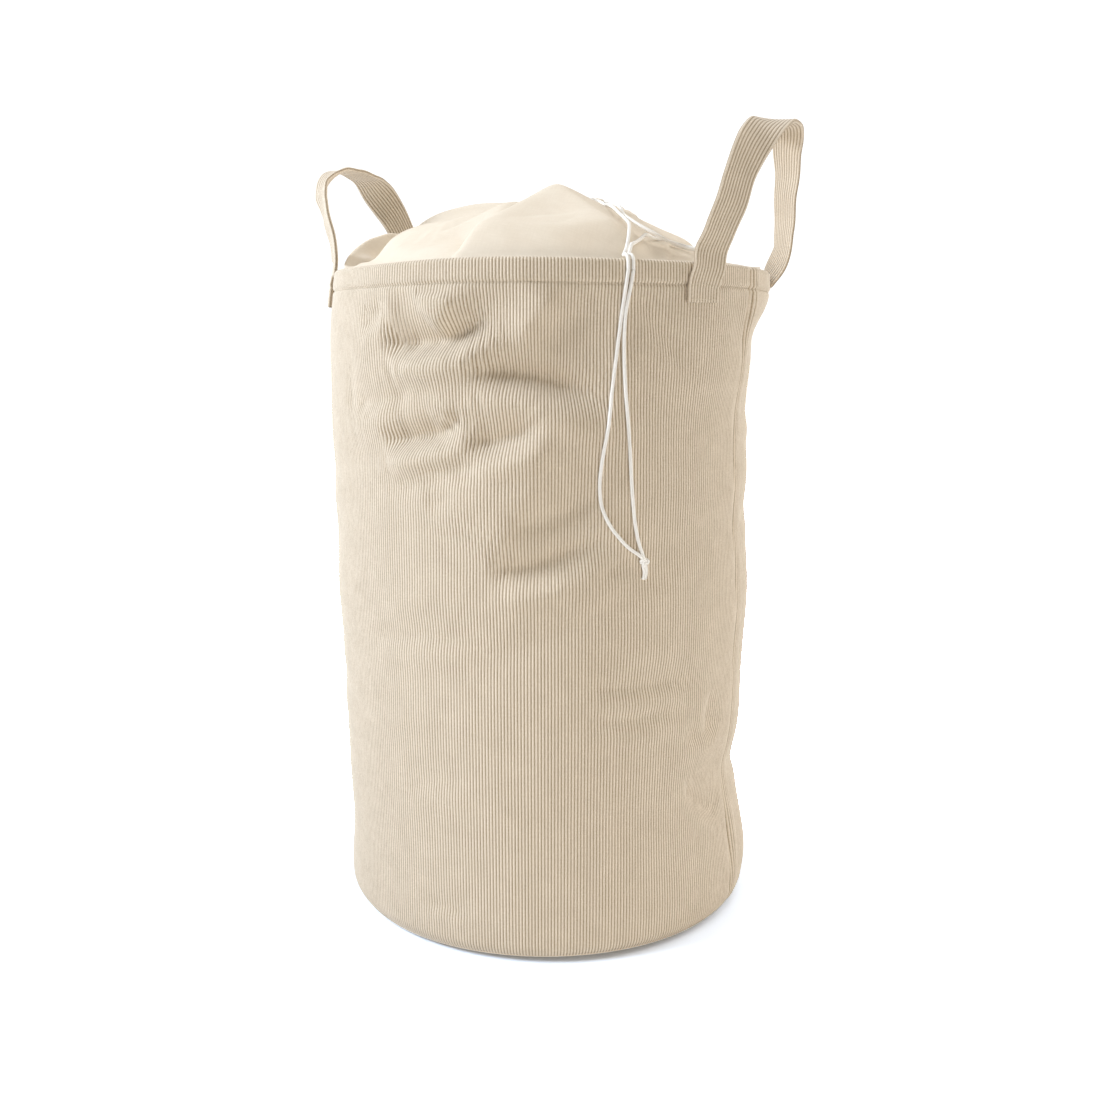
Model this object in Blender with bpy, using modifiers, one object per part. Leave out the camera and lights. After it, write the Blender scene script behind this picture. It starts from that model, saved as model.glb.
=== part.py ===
"""Laundry bag: a corduroy cylinder with two strap handles and a gathered cotton drawstring closure.

Frame: +Z up, origin on the floor under the middle of the base. +X points at the right handle, -Y is the
front. The two body panels meet in side seams near +X and -X. Units are metres.
"""

import math

import bmesh
import bpy
from mathutils import Vector

# Body
FOOT_RADIUS = 0.195  # outside of the corduroy at the floor
WAIST_RADIUS = 0.199  # at half height
RIM_RADIUS = 0.194  # at the top
HEIGHT = 0.598  # floor to the top of the hem
CORDUROY = 0.0022  # thickness of the ribbed cloth
COTTON = 0.0008  # thickness of the lining and closure cloth
LAYER_GAP = 0.0004  # between two layers of cloth
HEM_DEPTH = 0.018  # how far the rim is turned in
HEM_FOLD_RADIUS = CORDUROY / 2 + LAYER_GAP + COTTON / 2  # the fold holds the lining's edge
HEM_THICKNESS = CORDUROY + 2 * HEM_FOLD_RADIUS
SEAM_GAP = 0.0018  # between the two panels, where the seam thread runs
THREAD = 0.0009  # diameter of the sewing thread
STATIONS = 48  # facets round every ring, so that layers stay parallel
SEAM_TURN = -math.radians(360 / STATIONS)  # the right side seam lies just in front of +X

# Handles
STRAP_WIDTH = 0.032
STRAP_THICKNESS = 0.0030
HANDLE_SPREAD = math.radians(29.5)  # each end's angle from the handle's middle
TAB_HEIGHT = 0.020  # the sewn end below the hem's stitch line
TAB_THICKNESS = 0.0045  # the end is turned under, so it is thicker
STRAP_START = 0.016  # the moving strap starts this far above the rim
TAB_TOP = 0.001  # the still end of the strap stops this far below the rim

# Closure
MOUTH_CENTRE = Vector((0.030, 0.010))
CHANNEL_RADIUS = 0.022  # of the drawn-in mouth, at the cord's centre
CHANNEL_RISE = 0.070  # cord's height above the rim
CHANNEL_ROOM = 0.0048  # inner width of the channel, which the cord runs in
SKIRT_DEPTH = 0.014  # how far the closure reaches down inside the hem

# Drawcord
CORD = 0.0030  # diameter
CORD_STANDOFF = 2 * LAYER_GAP + THREAD + CORD / 2  # cord's centre off the wall, clear of the hem's thread
CORD_CLEARANCE = 0.0009  # between a strand and the cloth it lies on
CORD_START = 0.006  # the hanging strands start this far below the rim
STRAND_TURN = math.radians(-49.5)  # where the pair of strands crosses the rim
STRANDS_APART = 0.0044  # between their centres
LEFT_BOW = math.radians(-6.5)  # how far the left strand swings out on its way down
KNOT_TURN = math.radians(-45.6)
KNOT_Z = 0.354
KNOT_RADIUS = 0.0055
LEAD_POINTS = 22
STRAND_POINTS = 16
TAIL = 0.014  # length of the cut ends below the knot

CREAM = (0.80, 0.70, 0.54)
CORDUROY_BEIGE = (0.56, 0.47, 0.35)
CORD_WHITE = (0.86, 0.83, 0.78)
THREAD_BEIGE = (0.62, 0.54, 0.42)


# ---------------------------------------------------------------- tools


def clear_scene():
    for obj in list(bpy.data.objects):
        bpy.data.objects.remove(obj)


def make_material(name, colour, roughness):
    material = bpy.data.materials.new(name)
    material.use_nodes = True
    shader = material.node_tree.nodes["Principled BSDF"]
    shader.inputs["Base Color"].default_value = (*colour, 1)
    shader.inputs["Roughness"].default_value = roughness
    shader.inputs["Metallic"].default_value = 0.0
    return material


def add_object(name, data, material):
    obj = bpy.data.objects.new(name, data)
    bag.objects.link(obj)
    data.materials.append(material)
    return obj


def smooth(mesh):
    mesh.shade_smooth()
    mesh.set_sharp_from_angle(angle=math.radians(40))


def add_sheet(name, material, across, along, point_at, thickness, closed=False):
    """A cloth sheet: a grid laid out by point_at(u, v), both from 0 to 1, and thickened on both sides."""
    mesh = bpy.data.meshes.new(name)
    cloth = bmesh.new()
    bmesh.ops.create_grid(cloth, x_segments=across, y_segments=along, size=0.5)
    for vertex in cloth.verts:
        vertex.co = point_at(vertex.co.x + 0.5, vertex.co.y + 0.5)
    if closed:
        bmesh.ops.remove_doubles(cloth, verts=cloth.verts, dist=1e-6)
    bmesh.ops.recalc_face_normals(cloth, faces=cloth.faces)
    cloth.to_mesh(mesh)
    cloth.free()
    smooth(mesh)
    obj = add_object(name, mesh, material)
    solidify = obj.modifiers.new("Thickness", "SOLIDIFY")
    solidify.thickness = thickness
    solidify.offset = 0
    solidify.use_even_offset = True
    return obj


def add_turned(name, material, profile, centre=(0, 0, 0), steps=STATIONS):
    """A ring or disc: a profile of (radius, height) turned about Z. It runs down its outer side.

    A profile that starts and ends on the axis stays open, and any other is closed into a ring.
    """
    mesh = bpy.data.meshes.new(name)
    outline = bmesh.new()
    points = [outline.verts.new((radius, 0, height)) for radius, height in profile]
    for first, second in zip(points, points[1:]):
        outline.edges.new((first, second))
    if profile[0][0] > 0:
        outline.edges.new((points[-1], points[0]))
    outline.to_mesh(mesh)
    outline.free()
    obj = add_object(name, mesh, material)
    obj.location = centre
    screw = obj.modifiers.new("Turn", "SCREW")
    screw.steps = steps
    screw.render_steps = steps
    screw.use_merge_vertices = True
    screw.merge_threshold = 0.00001
    screw.use_normal_calculate = False
    return obj


def add_tube(name, material, points, diameter, cyclic=False, sides=2):
    curve = bpy.data.curves.new(name, "CURVE")
    curve.dimensions = "3D"
    curve.bevel_depth = diameter / 2
    curve.bevel_resolution = sides
    curve.use_fill_caps = not cyclic
    spline = curve.splines.new("POLY")
    spline.points.add(len(points) - 1)
    for spot, point in zip(spline.points, points):
        spot.co = (*point, 1)
    spline.use_cyclic_u = cyclic
    return add_object(name, curve, material)


def smooth_line(points, count):
    """count points, evenly spaced along a smooth curve through the given points."""
    points = [Vector(point) for point in points]
    padded = [2 * points[0] - points[1], *points, 2 * points[-1] - points[-2]]
    fine = []
    per_span = 24
    for i in range(len(points) - 1):
        before, start, end, after = padded[i : i + 4]
        for k in range(per_span):
            t = k / per_span
            fine.append(
                0.5
                * (
                    2 * start
                    + (end - before) * t
                    + (2 * before - 5 * start + 4 * end - after) * t**2
                    + (3 * start - before - 3 * end + after) * t**3
                )
            )
    fine.append(points[-1])
    reach = [0.0]
    for first, second in zip(fine, fine[1:]):
        reach.append(reach[-1] + (second - first).length)
    line = []
    i = 0
    for k in range(count):
        goal = reach[-1] * k / (count - 1)
        while i < len(fine) - 2 and reach[i + 1] < goal:
            i += 1
        share = (goal - reach[i]) / max(reach[i + 1] - reach[i], 1e-9)
        line.append(fine[i].lerp(fine[i + 1], share))
    return line


# ---------------------------------------------------------------- body


def outer_radius(z):
    """Outside radius of the corduroy: a shallow barrel through the foot, waist and rim."""
    t = z / HEIGHT
    foot = FOOT_RADIUS * (1 - t) * (1 - 2 * t)
    waist = WAIST_RADIUS * 4 * t * (1 - t)
    rim = RIM_RADIUS * t * (2 * t - 1)
    return foot + waist + rim


def wall_point(turn, z, off):
    """A point off the outside of the wall."""
    radius = outer_radius(z) + off
    return (radius * math.cos(turn), radius * math.sin(turn), z)


def panel_outline():
    """(inset from the outside, height) up the wall, over the hem's fold and down its turned-in side."""
    middle = CORDUROY / 2
    fold_z = HEIGHT - HEM_FOLD_RADIUS - middle
    wall_heights = [LAYER_GAP + (fold_z - LAYER_GAP) * k / 8 for k in range(9)]
    outline = [(middle, z) for z in wall_heights]
    for k in range(1, 6):
        turn = math.pi * k / 5
        inset = middle + HEM_FOLD_RADIUS * (1 - math.cos(turn))
        outline.append((inset, fold_z + HEM_FOLD_RADIUS * math.sin(turn)))
    outline.append((middle + 2 * HEM_FOLD_RADIUS, HEIGHT - HEM_DEPTH))
    return outline


def add_panel(name, start_angle):
    """Half of the body wall, with its hem. It spans half a turn from start_angle, less the seam's gap."""
    outline = panel_outline()
    half_gap = SEAM_GAP / 2 / RIM_RADIUS

    def point_at(u, v):
        angle = start_angle + min(max(math.pi * u, half_gap), math.pi - half_gap)
        inset, z = outline[round(v * (len(outline) - 1))]
        radius = outer_radius(z) - inset
        return (radius * math.cos(angle), radius * math.sin(angle), z)

    return add_sheet(name, corduroy, STATIONS // 2, len(outline) - 1, point_at, CORDUROY)


def add_discs():
    base_radius = FOOT_RADIUS - CORDUROY - 2 * LAYER_GAP
    base = [(0, CORDUROY), (base_radius, CORDUROY), (base_radius, 0), (0, 0)]
    add_turned("base_panel", corduroy, base)
    lining_radius = base_radius - COTTON - 2 * LAYER_GAP
    low = CORDUROY + LAYER_GAP
    high = low + COTTON
    disc = [(0, high), (lining_radius, high), (lining_radius, low), (0, low)]
    add_turned("lining_base", cotton, disc)


def add_lining_wall():
    """The cotton tube inside the corduroy. Its top edge is caught in the hem's fold."""
    outside = CORDUROY + LAYER_GAP
    inside = outside + COTTON
    low = CORDUROY + LAYER_GAP
    high = HEIGHT - CORDUROY - HEM_FOLD_RADIUS
    heights = [low + (high - low) * k / 6 for k in range(7)]
    down_outside = [(outer_radius(z) - outside, z) for z in reversed(heights)]
    up_inside = [(outer_radius(z) - inside, z) for z in heights]
    add_turned("lining_wall", cotton, down_outside + up_inside)


def thread_ring(radius, z, count):
    turns = [2 * math.pi * k / count for k in range(count)]
    return [(radius * math.cos(turn), radius * math.sin(turn), z) for turn in turns]


def add_body_threads():
    """The hem's row of stitches, and the thread in each side seam."""
    z = HEIGHT - HEM_DEPTH
    ring = thread_ring(outer_radius(z) + LAYER_GAP + THREAD / 2, z, STATIONS)
    add_tube("hem_thread", thread, ring, THREAD, cyclic=True, sides=1)
    lowest, highest = 0.004, HEIGHT - 0.010
    heights = [lowest + (highest - lowest) * k / 8 for k in range(9)]
    for name, turn in (("side_seam_thread_right", SEAM_TURN), ("side_seam_thread_left", SEAM_TURN + math.pi)):
        add_tube(name, thread, [wall_point(turn, z, -CORDUROY / 2) for z in heights], THREAD, sides=1)


# ---------------------------------------------------------------- handles

# Each strap's middle line above the rim, from its front end to its back end:
# (along the chord between its ends, outwards from the hinge axis, above the rim).
RIGHT_ROUTE = [
    (-0.0950, 0.001, 0.000),
    (-0.0940, 0.006, 0.012),
    (-0.0910, 0.014, 0.028),
    (-0.0850, 0.021, 0.048),
    (-0.0760, 0.026, 0.068),
    (-0.0630, 0.031, 0.088),
    (-0.0440, 0.036, 0.107),
    (-0.0200, 0.040, 0.121),
    (0.0080, 0.045, 0.127),
    (0.0360, 0.048, 0.125),
    (0.0580, 0.048, 0.117),
    (0.0740, 0.046, 0.100),
    (0.0850, 0.044, 0.072),
    (0.0920, 0.036, 0.036),
    (0.0960, 0.021, 0.013),
    (0.0950, 0.009, 0.000),
]
LEFT_ROUTE = [
    (-0.0950, 0.001, 0.000),
    (-0.0945, -0.001, 0.016),
    (-0.0920, 0.003, 0.034),
    (-0.0870, 0.010, 0.054),
    (-0.0780, 0.017, 0.070),
    (-0.0680, 0.022, 0.082),
    (-0.0540, 0.025, 0.093),
    (-0.0340, 0.026, 0.102),
    (-0.0120, 0.025, 0.105),
    (0.0120, 0.025, 0.105),
    (0.0320, 0.027, 0.100),
    (0.0500, 0.027, 0.092),
    (0.0700, 0.023, 0.076),
    (0.0850, 0.017, 0.054),
    (0.0930, 0.010, 0.035),
    (0.0950, 0.003, 0.016),
    (0.0950, 0.001, 0.000),
]
HINGE_INSET = (RIM_RADIUS + LAYER_GAP + STRAP_THICKNESS / 2) * math.cos(HANDLE_SPREAD)



def handle_space(side, along, out, up):
    """A point of a handle's own frame in the bag's. side is 1 at +X and -1 at -X."""
    return Vector((side * (HINGE_INSET + out), along, HEIGHT + up))


def width_direction(side, share):
    """The way the strap's width points, from its front end (share 0) to its back end (share 1).

    It is tangential to the rim at both ends, where the strap lies flat on the wall, and points
    outwards at the top, where the strap lies over the hand.
    """
    twist = 1 - math.sin(math.pi * share) ** 0.8
    turn = (math.pi / 2 - HANDLE_SPREAD) * twist * (1 if share < 0.5 else -1)
    return Vector((side * math.cos(turn), math.sin(turn), 0))


def add_strap(name, side, route):
    """The part of a handle that swings: a flat band over the handle's route."""
    steps = 32
    line = smooth_line([handle_space(side, *point) for point in route], 4 * steps + 1)
    lowest = HEIGHT + STRAP_START
    shown = [i for i, point in enumerate(line) if point.z > lowest]
    first, last = shown[0], shown[-1]

    def point_at(u, v):
        index = first + (last - first) * v
        i = min(int(index), len(line) - 2)
        middle = line[i].lerp(line[i + 1], index - i)
        share = index / (len(line) - 1)
        return middle + width_direction(side, share) * (u - 0.5) * STRAP_WIDTH

    return add_sheet(name, corduroy, 1, steps, point_at, STRAP_THICKNESS)


def wall_band(angle, inset, low, high, thickness, name, material, half_width):
    """A plate on the outside of the wall, curved with it, its inside at inset."""

    def point_at(u, v):
        turn = angle + (u - 0.5) * 2 * half_width / RIM_RADIUS
        z = low + (high - low) * v
        radius = outer_radius(z) + inset + thickness / 2
        return (radius * math.cos(turn), radius * math.sin(turn), z)

    return add_sheet(name, material, 4, 2, point_at, thickness)


def tab_thread_loop(angle):
    """The rectangle of stitches round a tab, just off its face."""
    off = LAYER_GAP + TAB_THICKNESS + LAYER_GAP + THREAD / 2
    margin = 0.0035
    low = HEIGHT - HEM_DEPTH - TAB_HEIGHT + margin
    high = HEIGHT - HEM_DEPTH - margin
    reach = (STRAP_WIDTH / 2 - margin) / RIM_RADIUS
    steps = 4
    turns = [angle - reach + 2 * reach * k / steps for k in range(steps + 1)]
    loop = [(turn, low) for turn in turns] + [(turn, high) for turn in reversed(turns)]
    return [wall_point(turn, z, off) for turn, z in loop]


def add_handles():
    tab_low = HEIGHT - HEM_DEPTH - TAB_HEIGHT
    tab_high = HEIGHT - HEM_DEPTH - LAYER_GAP - THREAD
    lap_low = HEIGHT - HEM_DEPTH + LAYER_GAP + THREAD
    for hand, side, route in (("right", 1, RIGHT_ROUTE), ("left", -1, LEFT_ROUTE)):
        add_strap(f"handle_{hand}_strap", side, route)
        middle = 0 if side > 0 else math.pi
        for end, way in (("front", -1), ("back", 1)):
            angle = middle + side * way * HANDLE_SPREAD
            label = f"handle_{hand}_{end}"
            half = STRAP_WIDTH / 2
            wall_band(angle, LAYER_GAP, tab_low, tab_high, TAB_THICKNESS, label + "_tab", corduroy, half)
            thick = STRAP_THICKNESS
            top = HEIGHT - TAB_TOP
            wall_band(angle, LAYER_GAP, lap_low, top, thick, label + "_root", corduroy, half)
            loop = tab_thread_loop(angle)
            add_tube(label + "_tab_thread", thread, loop, THREAD, cyclic=True, sides=1)


# ---------------------------------------------------------------- closure


COVER_SKIRT = RIM_RADIUS - HEM_THICKNESS - LAYER_GAP - COTTON / 2
COVER_MOUTH = CHANNEL_RADIUS + CHANNEL_ROOM / 2 + COTTON + LAYER_GAP + COTTON / 2
# The closure cloth's middle surface, from inside the hem to the mouth: (radius, height above the rim).
COVER_OUTLINE = [
    (COVER_SKIRT, -SKIRT_DEPTH),
    (COVER_SKIRT, 0.004),
    (0.183, 0.012),
    (0.172, 0.022),
    (0.150, 0.033),
    (0.120, 0.045),
    (0.090, 0.056),
    (0.060, 0.066),
    (0.040, 0.072),
    (COVER_MOUTH, CHANNEL_RISE),
]


def cover_place(radius, up, angle):
    """A point of the closure. Its rings drift from the bag's axis to the mouth's as they get smaller."""
    drift = (COVER_SKIRT - radius) / (COVER_SKIRT - COVER_MOUTH)
    x = MOUTH_CENTRE.x * drift + radius * math.cos(angle)
    y = MOUTH_CENTRE.y * drift + radius * math.sin(angle)
    return (x, y, HEIGHT + up)


def add_cover():
    """The gathered cotton: a tent that rises from inside the hem to the drawn-in mouth."""

    def point_at(u, v):
        radius, up = COVER_OUTLINE[round(v * (len(COVER_OUTLINE) - 1))]
        return cover_place(radius, up, 2 * math.pi * u)

    add_sheet("closure_cover", cotton, STATIONS, len(COVER_OUTLINE) - 1, point_at, COTTON, closed=True)


def add_channel():
    """The hem round the mouth: cotton folded over the cord, open at its inside where it is stitched."""
    room = CHANNEL_ROOM / 2
    steps = 8
    outer = []
    inner = []
    for k in range(steps + 1):
        turn = math.radians(-150) + math.radians(300) * k / steps
        outer.append(((room + COTTON) * math.cos(turn), (room + COTTON) * math.sin(turn)))
        inner.append((room * math.cos(turn), room * math.sin(turn)))
    section = [(CHANNEL_RADIUS + a, b) for a, b in outer[::-1] + inner]
    place = (MOUTH_CENTRE.x, MOUTH_CENTRE.y, HEIGHT + CHANNEL_RISE)
    add_turned("cord_channel", cotton, section, place, steps=32)


# ---------------------------------------------------------------- drawcord


def add_lead(name, way):
    """A strand from the channel down the closure and over the rim, to where it hangs free."""

    def place(radius, up):
        return cover_place(radius, up, STRAND_TURN + way * STRANDS_APART / 2 / radius)

    lift = CORD / 2 + COTTON / 2 + CORD_CLEARANCE
    top = CHANNEL_RISE + CHANNEL_ROOM / 2 + COTTON + CORD / 2 + CORD_CLEARANCE
    line = [place(COVER_MOUTH, top)]
    for i in range(len(COVER_OUTLINE) - 2, 1, -1):
        inner, (radius, up), outer = COVER_OUTLINE[i + 1], COVER_OUTLINE[i], COVER_OUTLINE[i - 1]
        down = Vector((outer[0] - inner[0], outer[1] - inner[1])).normalized()
        line.append(place(radius - down.y * lift, up + down.x * lift))
    over_rim = CORD + 2 * CORD_CLEARANCE
    turn = STRAND_TURN + way * STRANDS_APART / 2 / RIM_RADIUS
    line.append((*wall_point(turn, HEIGHT, -HEM_THICKNESS / 2)[:2], HEIGHT + over_rim))
    line.append(wall_point(turn, HEIGHT - HEM_FOLD_RADIUS, over_rim))
    line.append(wall_point(turn, HEIGHT - CORD_START + CORD_CLEARANCE, CORD_STANDOFF))
    add_tube(name, cord_white, smooth_line(line, LEAD_POINTS), CORD)


def add_hanging_strand(name, way, spread):
    """A strand from the rim to the knot, bowed sideways by spread."""
    start = STRAND_TURN + way * STRANDS_APART / 2 / RIM_RADIUS
    end = KNOT_TURN + way * (CORD + LAYER_GAP) / 2 / RIM_RADIUS
    z_start = HEIGHT - CORD_START
    z_end = KNOT_Z + KNOT_RADIUS + CORD_CLEARANCE
    line = []
    for share, bow in ((0, 0), (0.2, 0.55), (0.42, 0.95), (0.62, 1), (0.8, 0.72), (0.93, 0.25), (1, 0)):
        turn = start + (end - start) * share + spread * bow
        line.append(wall_point(turn, z_start + (z_end - z_start) * share, CORD_STANDOFF))
    add_tube(name, cord_white, smooth_line(line, STRAND_POINTS), CORD)


def add_drawcord():
    ring = []
    for x, y, _ in thread_ring(CHANNEL_RADIUS, 0, 16):
        ring.append((MOUTH_CENTRE.x + x, MOUTH_CENTRE.y + y, HEIGHT + CHANNEL_RISE))
    add_tube("drawcord_turn", cord_white, ring, CORD, cyclic=True)
    for hand, way, spread in (("right", 1, 0), ("left", -1, LEFT_BOW)):
        add_lead("drawcord_lead_" + hand, way)
        add_hanging_strand("drawcord_strand_" + hand, way, spread)
        turn = KNOT_TURN + way * (CORD + LAYER_GAP) / 2 / RIM_RADIUS
        high = KNOT_Z - KNOT_RADIUS - CORD_CLEARANCE
        tail = [wall_point(turn, high - TAIL * k / 3, CORD_STANDOFF) for k in range(4)]
        add_tube("drawcord_tail_" + hand, cord_white, tail, CORD)
    steps = 8
    half_turns = [math.pi * k / steps for k in range(steps + 1)]
    ball = [(KNOT_RADIUS * math.sin(turn), KNOT_RADIUS * math.cos(turn)) for turn in half_turns]
    ball[0] = (0, KNOT_RADIUS)
    ball[-1] = (0, -KNOT_RADIUS)
    knot_place = wall_point(KNOT_TURN, KNOT_Z, KNOT_RADIUS + CORD_CLEARANCE)
    add_turned("drawcord_knot", cord_white, ball, knot_place, 16)


clear_scene()
bag = bpy.data.collections.new("laundry_bag")
bpy.context.scene.collection.children.link(bag)
corduroy = make_material("corduroy", CORDUROY_BEIGE, 0.95)
cotton = make_material("cotton", CREAM, 0.85)
cord_white = make_material("cord", CORD_WHITE, 0.8)
thread = make_material("thread", THREAD_BEIGE, 0.7)

add_panel("front_panel", SEAM_TURN - math.pi)
add_panel("back_panel", SEAM_TURN)
add_discs()
add_lining_wall()
add_body_threads()
add_handles()
add_cover()
add_channel()
add_drawcord()
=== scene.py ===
import math

import bmesh
import bpy
import numpy as np
from mathutils import Matrix, Vector


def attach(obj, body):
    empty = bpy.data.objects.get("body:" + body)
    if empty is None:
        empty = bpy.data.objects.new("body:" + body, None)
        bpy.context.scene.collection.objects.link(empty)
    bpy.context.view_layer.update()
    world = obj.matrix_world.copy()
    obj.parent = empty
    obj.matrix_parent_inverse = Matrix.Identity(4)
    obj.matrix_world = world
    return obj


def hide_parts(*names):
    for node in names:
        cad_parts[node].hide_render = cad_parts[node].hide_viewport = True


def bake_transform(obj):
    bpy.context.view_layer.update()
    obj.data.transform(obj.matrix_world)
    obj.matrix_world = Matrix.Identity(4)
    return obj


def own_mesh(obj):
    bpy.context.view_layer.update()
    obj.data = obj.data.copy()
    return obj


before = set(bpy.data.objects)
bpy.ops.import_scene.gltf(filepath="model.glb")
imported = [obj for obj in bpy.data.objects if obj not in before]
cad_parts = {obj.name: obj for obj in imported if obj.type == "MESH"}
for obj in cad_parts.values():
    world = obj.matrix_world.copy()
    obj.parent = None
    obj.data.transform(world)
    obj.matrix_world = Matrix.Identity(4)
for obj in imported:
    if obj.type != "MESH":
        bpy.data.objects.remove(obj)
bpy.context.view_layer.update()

# The part's own measures, in metres, as in its CAD.
HEIGHT = 0.598
FOOT_RADIUS = 0.195
WAIST_RADIUS = 0.199
RIM_RADIUS = 0.194
HEM_DEPTH = 0.018
HEM_THICKNESS = 0.006
STRAP_WIDTH = 0.032
STRAP_THICKNESS = 0.0032
HANDLE_SPREAD = math.radians(29.5)
HINGE_INSET = 0.1730
SEAM_TURN = math.radians(-8)
CORD = 0.0030

# The side the loose cloth faces, where the fold positions below are counted from.
FACE = math.radians(-70.5)
FRONT_TURN = FACE + math.pi / 2
WALES = 440  # ribs of the corduroy round the bag
WALE_PITCH = 2 * math.pi * WAIST_RADIUS / WALES
WALE_HEIGHT = 0.00075
PER_WALE = 4  # columns of the mesh to each rib
FUZZ = 0.00005  # how uneven the wall's pile is
PILE = 0.000012  # and the straps'

rng = np.random.default_rng(11)


# ---------------------------------------------------------------- mesh tools


def whole_turn(count):
    """count directions, evenly spaced round a turn."""
    return np.arange(count) * 2 * math.pi / count


def around(radius, turn, height):
    """Points at a distance, a turn and a height, from the bag's upright middle line."""
    return np.stack([radius * np.cos(turn), radius * np.sin(turn), height], axis=-1)


def reach_along(line):
    """How far along a line each of its points is."""
    return np.concatenate([[0], np.cumsum(np.linalg.norm(np.diff(line, axis=0), axis=1))])


def ways_along(line):
    """The way that a line runs at each of its points."""
    ways = np.gradient(line, axis=0)
    return ways / np.linalg.norm(ways, axis=1)[:, None]


def weave_grid(across, along):
    """Cloth coordinates for a grid, from one value for each column and one for each row."""
    return np.stack(np.meshgrid(across, along), axis=-1)


def grid_mesh(name, points, uv, wrap=False, wale=None):
    """A mesh from points laid out as rows by columns. wrap joins the last column to the first."""
    rows, columns = points.shape[:2]
    index = np.arange(rows * columns).reshape(rows, columns)
    across = np.roll(index, -1, axis=1) if wrap else index[:, 1:]
    here = index if wrap else index[:, :-1]
    quads = np.stack([here[:-1], across[:-1], across[1:], here[1:]], axis=-1).reshape(-1, 4)
    mesh = bpy.data.meshes.new(name)
    mesh.vertices.add(rows * columns)
    mesh.vertices.foreach_set("co", points.astype(np.float32).ravel())
    mesh.loops.add(quads.size)
    mesh.loops.foreach_set("vertex_index", quads.astype(np.int32).ravel())
    mesh.polygons.add(len(quads))
    mesh.polygons.foreach_set("loop_start", np.arange(0, quads.size, 4, dtype=np.int32))
    mesh.polygons.foreach_set("loop_total", np.full(len(quads), 4, np.int32))
    mesh.update(calc_edges=True)
    mesh.validate()
    corners = uv.reshape(-1, 2)[quads.ravel()]
    mesh.uv_layers.new(name="weave").data.foreach_set("uv", corners.astype(np.float32).ravel())
    if wale is not None:
        ribs = mesh.attributes.new("wale", "FLOAT", "POINT")
        ribs.data.foreach_set("value", wale.astype(np.float32).ravel())
    mesh.shade_smooth()
    return mesh


def add_object(name, data):
    thing = bpy.data.objects.new(name, data)
    bpy.context.scene.collection.objects.link(thing)
    return thing


def add_piece(mesh, slot, *nodes, body="bag"):
    """An object of the mesh's name, which rides on a body and stands for CAD nodes."""
    piece = add_object(mesh.name, mesh)
    mesh.materials.append(MATERIALS[slot])
    if body:
        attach(piece, body)
    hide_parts(*nodes)
    return piece


def tube_points(line, radius, sides, start_side):
    """Rings of points round a line. radius is one number or one for each point of the line."""
    line = np.asarray(line, float)
    ways = ways_along(line)
    side = np.array(start_side, float)
    turns = whole_turn(sides)
    radii = np.broadcast_to(np.asarray(radius, float), (len(line),))
    rings = []
    for point, way, r in zip(line, ways, radii):
        side = side - way * (side @ way)
        side /= np.linalg.norm(side)
        other = np.cross(way, side)
        rings.append(point + r * (np.outer(np.cos(turns), side) + np.outer(np.sin(turns), other)))
    return np.array(rings)


def smooth_line(points, count):
    """count points, evenly spaced along a smooth curve through the given points."""
    points = np.asarray(points, float)
    padded = np.vstack([2 * points[0] - points[1], points, 2 * points[-1] - points[-2]])
    t = np.linspace(0, 1, 40, endpoint=False)[:, None]
    spans = []
    for i in range(len(points) - 1):
        before, start, end, after = padded[i : i + 4]
        curve = 2 * start + (end - before) * t + (2 * before - 5 * start + 4 * end - after) * t**2
        spans.append(0.5 * (curve + (3 * start - before - 3 * end + after) * t**3))
    fine = np.vstack([*spans, points[-1:]])
    reach = reach_along(fine)
    goals = np.linspace(0, reach[-1], count)
    return np.stack([np.interp(goals, reach, column) for column in fine.T], axis=1)


def smooth_profile(points):
    """A function through (position, value) pairs, with its corners rounded off."""
    at, value = np.array(points, float).T
    fine = np.linspace(at[0], at[-1], 600)
    window = np.hanning(61)
    padded = np.pad(np.interp(fine, at, value), len(window) // 2, mode="edge")
    rounded = np.convolve(padded, window / window.sum(), mode="valid")
    return lambda x: np.interp(x, fine, rounded)


def beside_line(points, line):
    """How far points are from a line, on which side, and the number of its nearest point."""
    gaps = points[..., None, :] - line
    far = np.sqrt((gaps**2).sum(-1))
    closest = far.argmin(-1)
    way = np.gradient(line, axis=0)[closest]
    step = np.take_along_axis(gaps, closest[..., None, None], axis=-2)[..., 0, :]
    side = np.sign(way[..., 0] * step[..., 1] - way[..., 1] * step[..., 0])
    return far.min(-1), side, closest


def close_ends(mesh, sides, rows):
    """Fill the first and last ring of a tube."""
    ends = bmesh.new()
    ends.from_mesh(mesh)
    ends.verts.ensure_lookup_table()
    for ring in (range(sides), range((rows - 1) * sides, rows * sides)):
        ends.faces.new([ends.verts[i] for i in ring])
    bmesh.ops.recalc_face_normals(ends, faces=ends.faces)
    ends.to_mesh(mesh)
    ends.free()
    mesh.shade_smooth()


# ---------------------------------------------------------------- materials


def new_tree(owner):
    """The empty node tree of a material or world."""
    owner.use_nodes = True
    owner.node_tree.nodes.clear()
    return owner.node_tree


def add_node(tree, kind, inputs, **settings):
    """A shader node. Each input is set to a value, or linked when it is given another node's socket."""
    node = tree.nodes.new("ShaderNode" + kind)
    for key, value in settings.items():
        setattr(node, key, value)
    for key, value in inputs.items():
        socket = node.inputs[key]
        if isinstance(value, bpy.types.NodeSocket):
            tree.links.new(value, socket)
        else:
            socket.default_value = (*value, 1) if socket.type == "RGBA" else value
    return node


def weave_of(tree, scale=None):
    """The cloth's own coordinates, in metres across and along it, or stretched by scale."""
    weave = add_node(tree, "UVMap", {}, uv_map="weave").outputs["UV"]
    if scale is None:
        return weave
    return add_node(tree, "Mapping", {"Vector": weave, "Scale": scale}).outputs["Vector"]


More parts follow.
